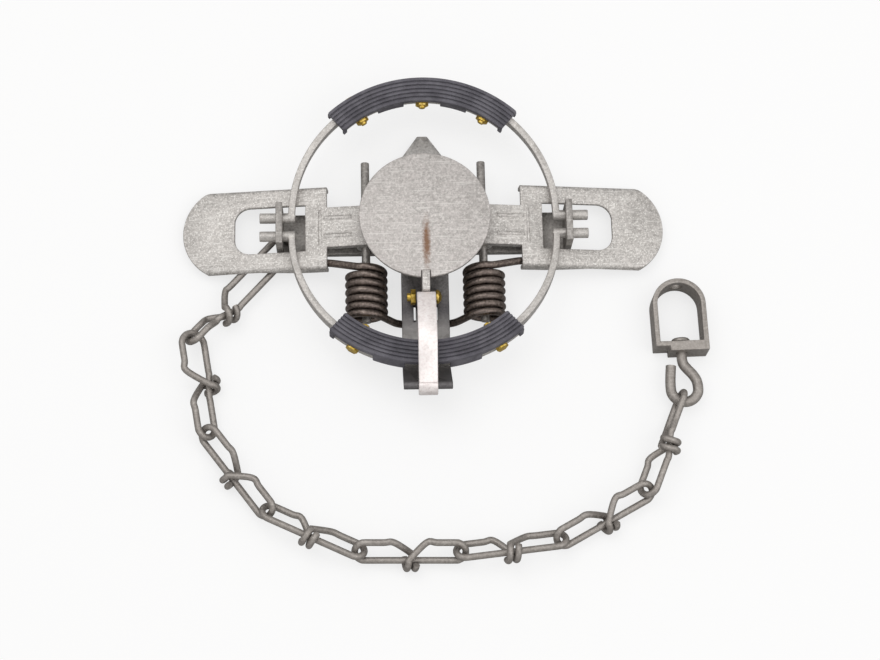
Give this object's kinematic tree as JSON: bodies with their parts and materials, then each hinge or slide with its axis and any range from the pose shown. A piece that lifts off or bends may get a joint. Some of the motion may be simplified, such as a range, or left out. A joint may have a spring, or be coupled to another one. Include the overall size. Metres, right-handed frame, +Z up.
{
  "type": "padded coil-spring foothold trap",
  "caption": "Set foothold trap with ribbed rubber jaw pads, stamped levers on coil springs, pan with dog catch, knotted wire chain and swivel.",
  "frame": {"origin": "on the ground under the middle of the base strip, at its underside", "axes": "+X along the right lever, +Y from the dog towards the rear jaw, +Z up"},
  "size_m": [0.2534, 0.242, 0.0369],
  "materials": {
    "galvanised": "mottled zinc coat",
    "dark_steel": "dull rolled steel",
    "spring_steel": "dark oil-tempered wire",
    "rubber": "matt ribbed rubber",
    "brass": "plated fastener brass",
    "chain_steel": "dull drawn wire"
  },
  "bodies": {
    "frame": {"base_strip": "dark_steel", "cross_strip": "dark_steel", "centre_rivets": "dark_steel", "left_spring_pin": "dark_steel", "right_spring_pin": "dark_steel", "left_spring": "spring_steel", "right_spring": "spring_steel", "pan_bolt": "brass", "pan_nut": "brass"},
    "left_lever": {"left_lever": "galvanised"},
    "right_lever": {"right_lever": "galvanised"},
    "front_jaw": {"front_jaw": "galvanised", "front_pad": "rubber", "front_pad_screws": "brass", "front_pad_nuts": "brass"},
    "rear_jaw": {"rear_jaw": "galvanised", "rear_pad": "rubber", "rear_pad_screws": "brass", "rear_pad_nuts": "brass"},
    "pan": {"pan": "galvanised", "pan_shank": "galvanised"},
    "dog": {"dog": "galvanised"},
    "swivel_hook": {"swivel_hook": "chain_steel"},
    "swivel_strap": {"swivel_strap": "galvanised"},
    "chain_link_1": {"chain_link_1": "chain_steel"},
    "chain_link_2": {"chain_link_2": "chain_steel"},
    "chain_link_3": {"chain_link_3": "chain_steel"},
    "chain_link_4": {"chain_link_4": "chain_steel"},
    "chain_link_5": {"chain_link_5": "chain_steel"},
    "chain_link_6": {"chain_link_6": "chain_steel"},
    "chain_link_7": {"chain_link_7": "chain_steel"},
    "chain_link_8": {"chain_link_8": "chain_steel"}
  },
  "joints": [
    {"name": "front_jaw_pivot", "type": "hinge", "parent": "frame", "child": "front_jaw", "pos_m": [0, -0.00465, 0.0145], "axis": [-1, 0, 0], "range_deg": [0, 83]},
    {"name": "rear_jaw_pivot", "type": "hinge", "parent": "frame", "child": "rear_jaw", "pos_m": [0, 0.00465, 0.0145], "axis": [1, 0, 0], "range_deg": [0, 83]},
    {"name": "left_lever_pivot", "type": "hinge", "parent": "frame", "child": "left_lever", "pos_m": [-0.0284, 0, 0.0112], "axis": [0, 1, 0], "range_deg": [0, 16.7], "deforming": ["left_spring"]},
    {"name": "right_lever_pivot", "type": "hinge", "parent": "frame", "child": "right_lever", "pos_m": [0.0284, 0, 0.0112], "axis": [0, -1, 0], "range_deg": [0, 16.7], "deforming": ["right_spring"]},
    {"name": "dog_pivot", "type": "hinge", "parent": "frame", "child": "dog", "pos_m": [0, -0.08325, 0.02608], "axis": [1, 0, 0], "range_deg": [0, 166.5]},
    {"name": "pan_pivot", "type": "hinge", "parent": "frame", "child": "pan", "pos_m": [0, -0.0355, 0.012], "axis": [-1, 0, 0], "range_deg": [0, 8]},
    {"name": "chain_joint_1", "type": "hinge", "parent": "frame", "child": "chain_link_1", "pos_m": [-0.07, -0.008, 0.00843], "axis": [0, 0, 1], "range_deg": [-3, 0]},
    {"name": "chain_joint_2", "type": "hinge", "parent": "chain_link_1", "child": "chain_link_2", "pos_m": [-0.1119, -0.05356, 0.00843], "axis": [0, 0, 1], "range_deg": [-20, 0]},
    {"name": "chain_joint_3", "type": "hinge", "parent": "chain_link_2", "child": "chain_link_3", "pos_m": [-0.10427, -0.10014, 0.00843], "axis": [0, 0, 1], "range_deg": [-20, 0]},
    {"name": "chain_joint_4", "type": "hinge", "parent": "chain_link_3", "child": "chain_link_4", "pos_m": [-0.07593, -0.13789, 0.00843], "axis": [0, 0, 1], "range_deg": [-20, 0]},
    {"name": "chain_joint_5", "type": "hinge", "parent": "chain_link_4", "child": "chain_link_5", "pos_m": [-0.03319, -0.15791, 0.00843], "axis": [0, 0, 1], "range_deg": [-20, 0]},
    {"name": "chain_joint_6", "type": "hinge", "parent": "chain_link_5", "child": "chain_link_6", "pos_m": [0.01401, -0.15873, 0.00843], "axis": [0, 0, 1], "range_deg": [-20, 0]},
    {"name": "chain_joint_7", "type": "hinge", "parent": "chain_link_6", "child": "chain_link_7", "pos_m": [0.06094, -0.15372, 0.00843], "axis": [0, 0, 1], "range_deg": [-20, 0]},
    {"name": "chain_joint_8", "type": "hinge", "parent": "chain_link_7", "child": "chain_link_8", "pos_m": [0.10242, -0.1312, 0.00843], "axis": [0, 0, 1], "range_deg": [-20, 0]},
    {"name": "hook_joint", "type": "hinge", "parent": "chain_link_8", "child": "swivel_hook", "pos_m": [0.12056, -0.08762, 0.0068], "axis": [0, 0, 1], "range_deg": [-10, 10]},
    {"name": "swivel", "type": "hinge", "parent": "swivel_hook", "child": "swivel_strap", "pos_m": [0.12309, -0.08153, 0.0068], "axis": [-0.0262, 0.9997, 0], "continuous": true}
  ],
  "couplings": [
    {"joint": "rear_jaw_pivot", "follows": "front_jaw_pivot", "ratio": 1},
    {"joint": "left_lever_pivot", "follows": "front_jaw_pivot", "ratio": 0.2},
    {"joint": "right_lever_pivot", "follows": "front_jaw_pivot", "ratio": 0.2},
    {"joint": "dog_pivot", "follows": "front_jaw_pivot", "ratio": 2}
  ]
}
